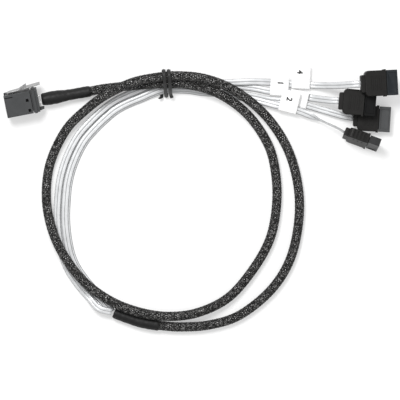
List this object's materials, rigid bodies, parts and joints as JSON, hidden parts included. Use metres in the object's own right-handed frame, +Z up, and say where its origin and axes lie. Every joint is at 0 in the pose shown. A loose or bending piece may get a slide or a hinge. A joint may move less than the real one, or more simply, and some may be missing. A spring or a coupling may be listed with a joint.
{
  "type": "mini sas breakout cable",
  "caption": "Coiled data cable: one square host plug with a sprung latch, a braided trunk, and flat ribbons to labelled drive plugs.",
  "frame": {"origin": "on the table under the middle of the whole lying cable", "axes": "+Z up from the table, +X from the host plug towards the drive plugs, +Y towards the tied side of the coil"},
  "size_m": [0.2169, 0.1464, 0.0183],
  "materials": {
    "host_plastic": "fine matt moulded nylon, dark grey",
    "black_plastic": "satin moulded plastic, near black",
    "latch_steel": "bright spring steel",
    "ribbon_foil": "silver foil under clear film",
    "card_laminate": "green laminate",
    "heat_shrink": "matt black heat-shrink",
    "braided_sleeve": "black braided sleeve with fine silver flecks",
    "label_vinyl": "white vinyl",
    "gold_contacts": "gold plated contact",
    "tie_plastic": "black plastic coated wire"
  },
  "bodies": {
    "cable": {"host_plug_shell": "host_plastic", "host_rear_cover": "host_plastic", "host_wire_block": "black_plastic", "host_ribbon_ends": "ribbon_foil", "host_upper_card": "card_laminate", "host_lower_card": "card_laminate", "host_heat_shrink": "heat_shrink", "sleeve_trunk": "braided_sleeve", "split_heat_shrink": "heat_shrink", "twist_tie": "tie_plastic", "ribbon_1": "ribbon_foil", "label_1": "label_vinyl", "drive_plug_1_boot": "black_plastic", "drive_plug_1_nose": "black_plastic", "drive_plug_1_contacts": "gold_contacts", "ribbon_2": "ribbon_foil", "label_2": "label_vinyl", "drive_plug_2_boot": "black_plastic", "drive_plug_2_nose": "black_plastic", "drive_plug_2_contacts": "gold_contacts", "ribbon_3": "ribbon_foil", "label_3": "label_vinyl", "drive_plug_3_boot": "black_plastic", "drive_plug_3_nose": "black_plastic", "drive_plug_3_contacts": "gold_contacts", "ribbon_4": "ribbon_foil", "label_4": "label_vinyl", "drive_plug_4_boot": "black_plastic", "drive_plug_4_nose": "black_plastic", "drive_plug_4_contacts": "gold_contacts"},
    "latch": {"host_latch": "latch_steel"}
  },
  "joints": [
    {"name": "latch_press", "type": "hinge", "parent": "cable", "child": "latch", "pos_m": [-0.1057, 0.05791, 0.00832], "axis": [-0.0397, 0.2041, -0.9781], "range_deg": [0, 5], "stiffness_Nm_per_rad": 0.05, "springref_deg": -5.73}
  ]
}
